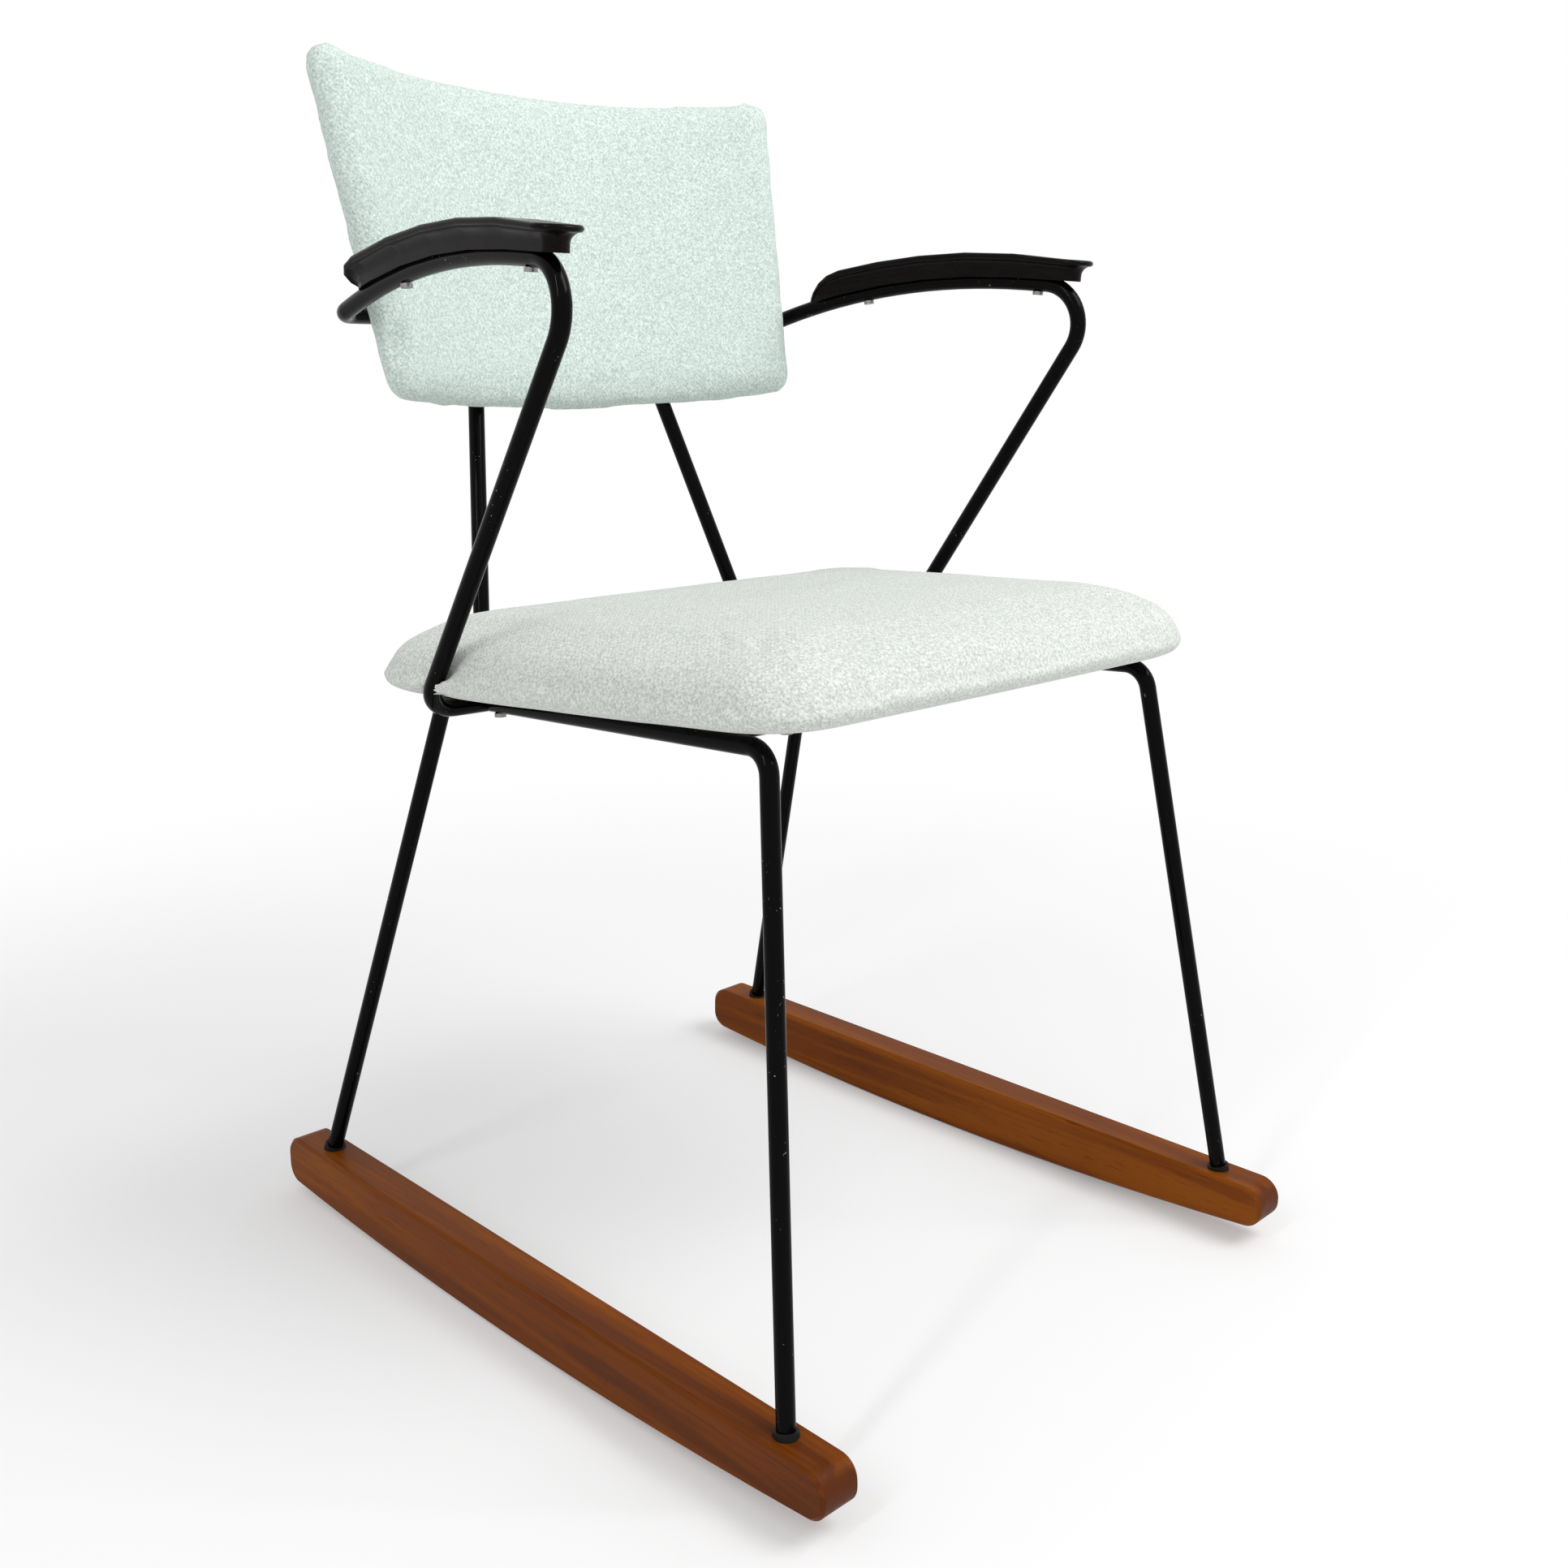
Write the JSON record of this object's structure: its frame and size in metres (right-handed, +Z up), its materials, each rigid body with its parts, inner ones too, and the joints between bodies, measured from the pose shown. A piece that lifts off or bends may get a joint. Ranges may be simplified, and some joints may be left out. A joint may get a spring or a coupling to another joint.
{
  "type": "rocking chair",
  "caption": "Rocking armchair: bent round-bar frame on curved wooden rockers, upholstered seat pad and curved back panel, moulded armrest pads.",
  "frame": {"origin": "on the floor, under the middle of the chair's bounding box", "axes": "+Z up, -Y the way the sitter faces, +X towards the sitter's left"},
  "size_m": [0.5226, 0.5992, 0.8646],
  "materials": {
    "rocker_wood": "oiled",
    "bush": "satin",
    "lacquered_bar": "gloss",
    "board": "raw",
    "foam": "matte",
    "seat_cloth": "flecked wool",
    "back_cloth": "flecked wool",
    "base_cloth": "matte",
    "screw": "satin",
    "armrest_moulding": "satin"
  },
  "bodies": {
    "root": {"rocker_right": "rocker_wood", "rocker_left": "rocker_wood", "leg_bushes": "bush", "front_leg_rail_right": "lacquered_bar", "front_leg_rail_left": "lacquered_bar", "rear_leg_right": "lacquered_bar", "rear_leg_left": "lacquered_bar", "front_cross_bar": "lacquered_bar", "rear_cross_bar": "lacquered_bar", "arm_bar_right": "lacquered_bar", "arm_bar_left": "lacquered_bar", "back_bow": "lacquered_bar", "back_upright_right": "lacquered_bar", "back_upright_left": "lacquered_bar", "seat_board": "board", "seat_foam": "foam", "seat_cover": "seat_cloth", "seat_base_cloth": "base_cloth", "seat_screws": "screw", "back_board": "board", "back_foam": "foam", "back_cover": "back_cloth", "back_screws": "screw", "armrest_right": "armrest_moulding", "armrest_left": "armrest_moulding", "armrest_screws": "screw"}
  },
  "joints": []
}
